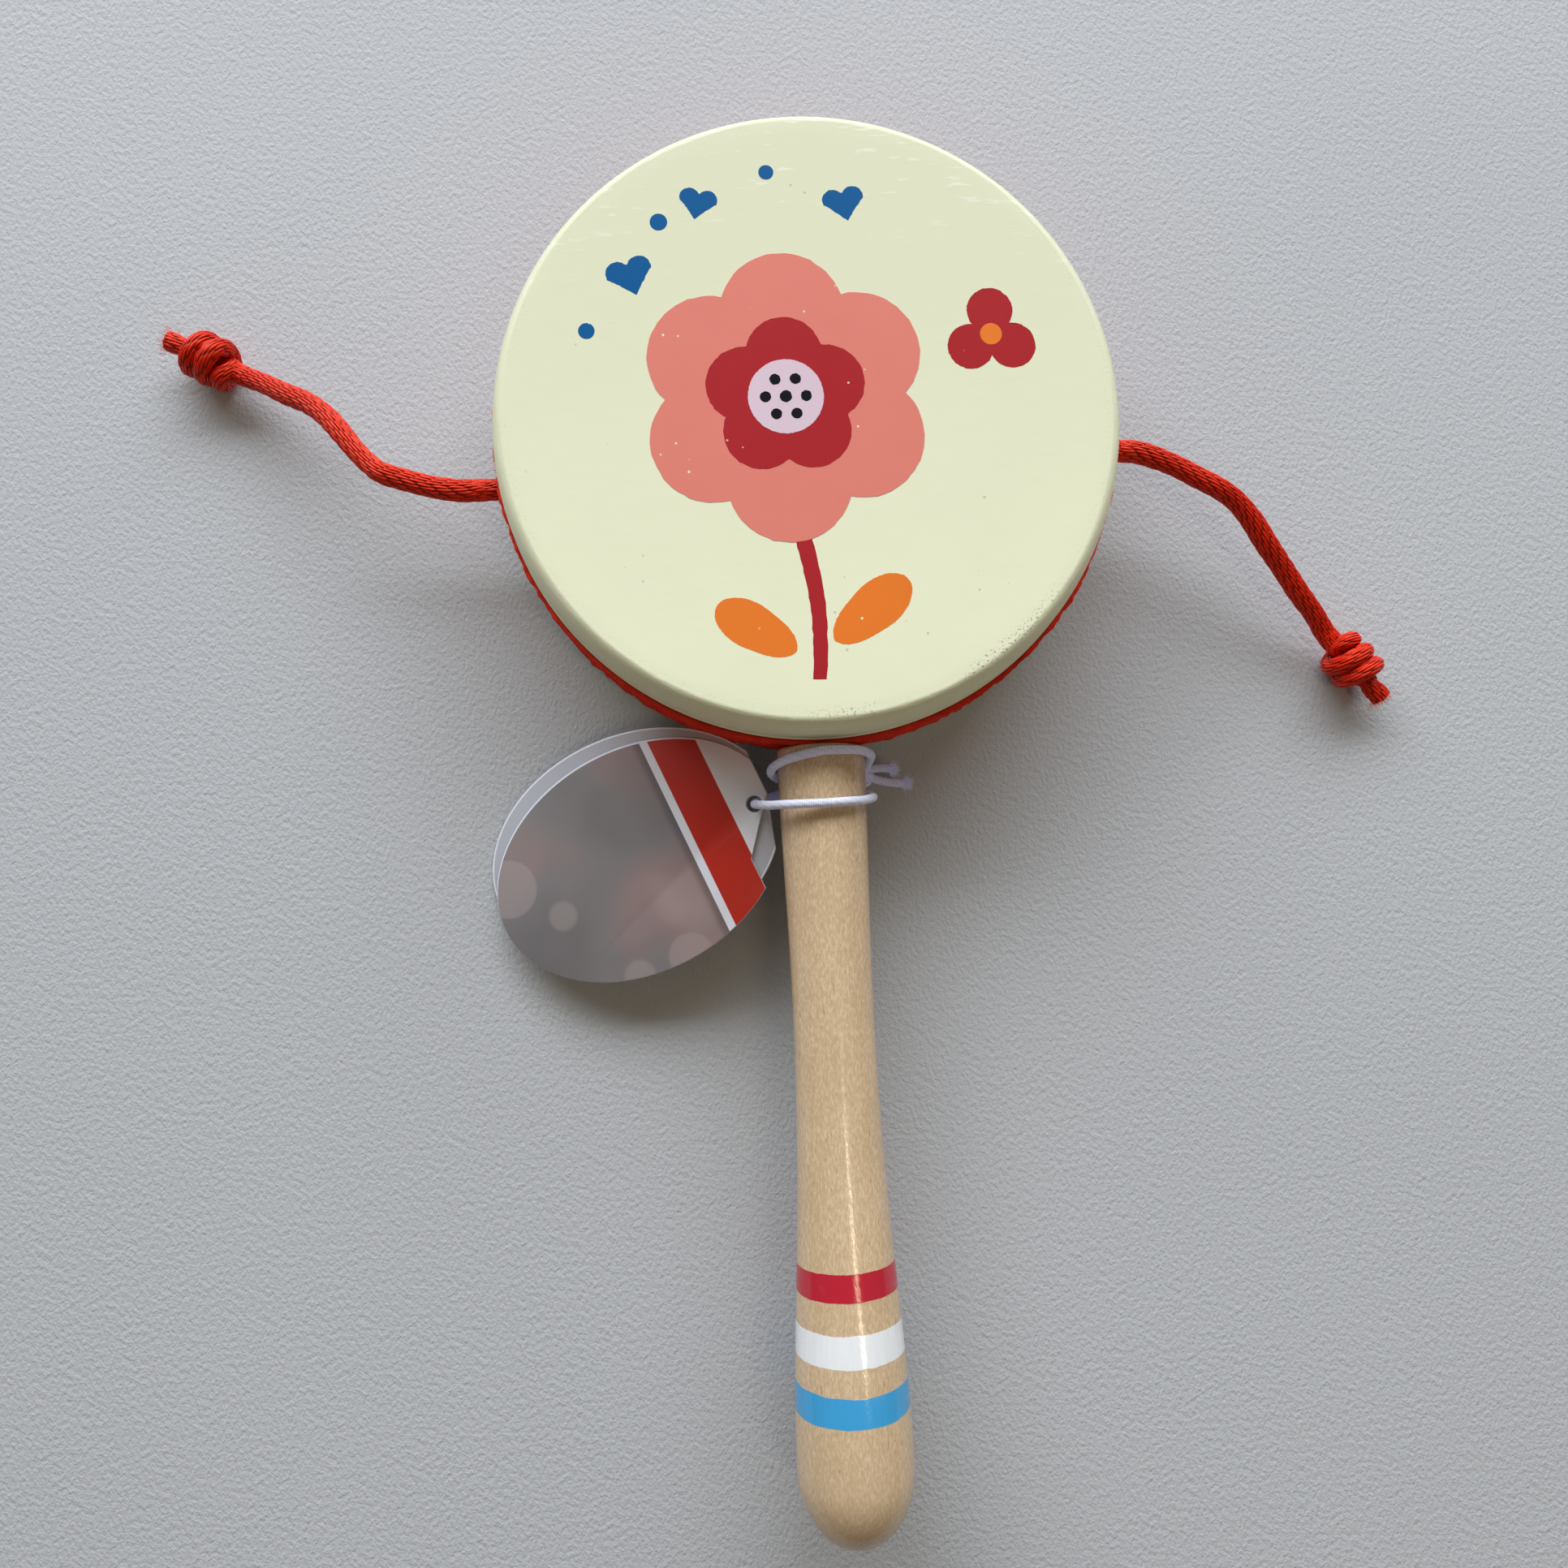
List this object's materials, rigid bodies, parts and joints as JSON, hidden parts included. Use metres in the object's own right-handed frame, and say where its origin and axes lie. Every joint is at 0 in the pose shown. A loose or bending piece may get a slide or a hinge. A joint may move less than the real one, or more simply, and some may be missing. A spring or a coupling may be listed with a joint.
{
  "type": "pellet drum rattle",
  "caption": "Hand-held wooden drum rattle: a flat double-headed drum on a turned handle, with a knotted ball on a cord at each side and a folded hang tag.",
  "frame": {"origin": "centre of the back head's outer face, which the rattle lies on", "axes": "+Z out of the front head, -Y along the handle away from the drum, +X to the right seen from the front"},
  "size_m": [0.2324, 0.2498, 0.03],
  "materials": {
    "cream_lacquer": "opaque cream lacquer, satin gloss",
    "bare_wood": "bare sanded wood",
    "red_felt": "soft red wool felt",
    "varnished_wood": "clear satin varnish on pale maple, painted stripes",
    "red_cord": "twisted satin cord",
    "white_elastic": "braided white elastic",
    "white_card": "coated white card"
  },
  "bodies": {
    "drum": {"front_head": "cream_lacquer", "back_head": "cream_lacquer", "shell_hoop": "bare_wood", "felt_band": "red_felt", "handle": "varnished_wood", "cord_anchor_left": "red_cord", "cord_anchor_right": "red_cord"},
    "left_root": {"cord_root_left": "red_cord"},
    "left_pellet": {"cord_left": "red_cord", "pellet_left": "red_cord"},
    "right_root": {"cord_root_right": "red_cord"},
    "right_pellet": {"cord_right": "red_cord", "pellet_right": "red_cord"},
    "tag_loop": {"tag_elastic": "white_elastic"},
    "tag": {"hang_tag": "white_card"}
  },
  "joints": [
    {"name": "left_root_swing", "type": "hinge", "parent": "drum", "child": "left_root", "pos_m": [-0.0582, -0.0064, 0.015], "axis": [0, 1, 0], "range_deg": [-90, 90]},
    {"name": "left_knee_bend", "type": "hinge", "parent": "left_root", "child": "left_pellet", "pos_m": [-0.0774, -0.0024, 0.015], "axis": [0.6153, 0.7883, 0], "range_deg": [-73, 100]},
    {"name": "right_root_swing", "type": "hinge", "parent": "drum", "child": "right_root", "pos_m": [0.0582, -0.003, 0.015], "axis": [0, -1, 0], "range_deg": [-90, 90]},
    {"name": "right_knee_bend", "type": "hinge", "parent": "right_root", "child": "right_pellet", "pos_m": [0.0768, -0.0107, 0.015], "axis": [-0.7659, -0.6429, 0], "range_deg": [-73, 97]},
    {"name": "tag_slide", "type": "slide", "parent": "drum", "child": "tag_loop", "axis": [0, -1, 0], "range_m": [0, 0.06]},
    {"name": "tag_flap", "type": "hinge", "parent": "tag_loop", "child": "tag", "pos_m": [-0.0123, -0.0656, 0.0128], "axis": [0, 1, 0], "range_deg": [-8, 10]}
  ]
}
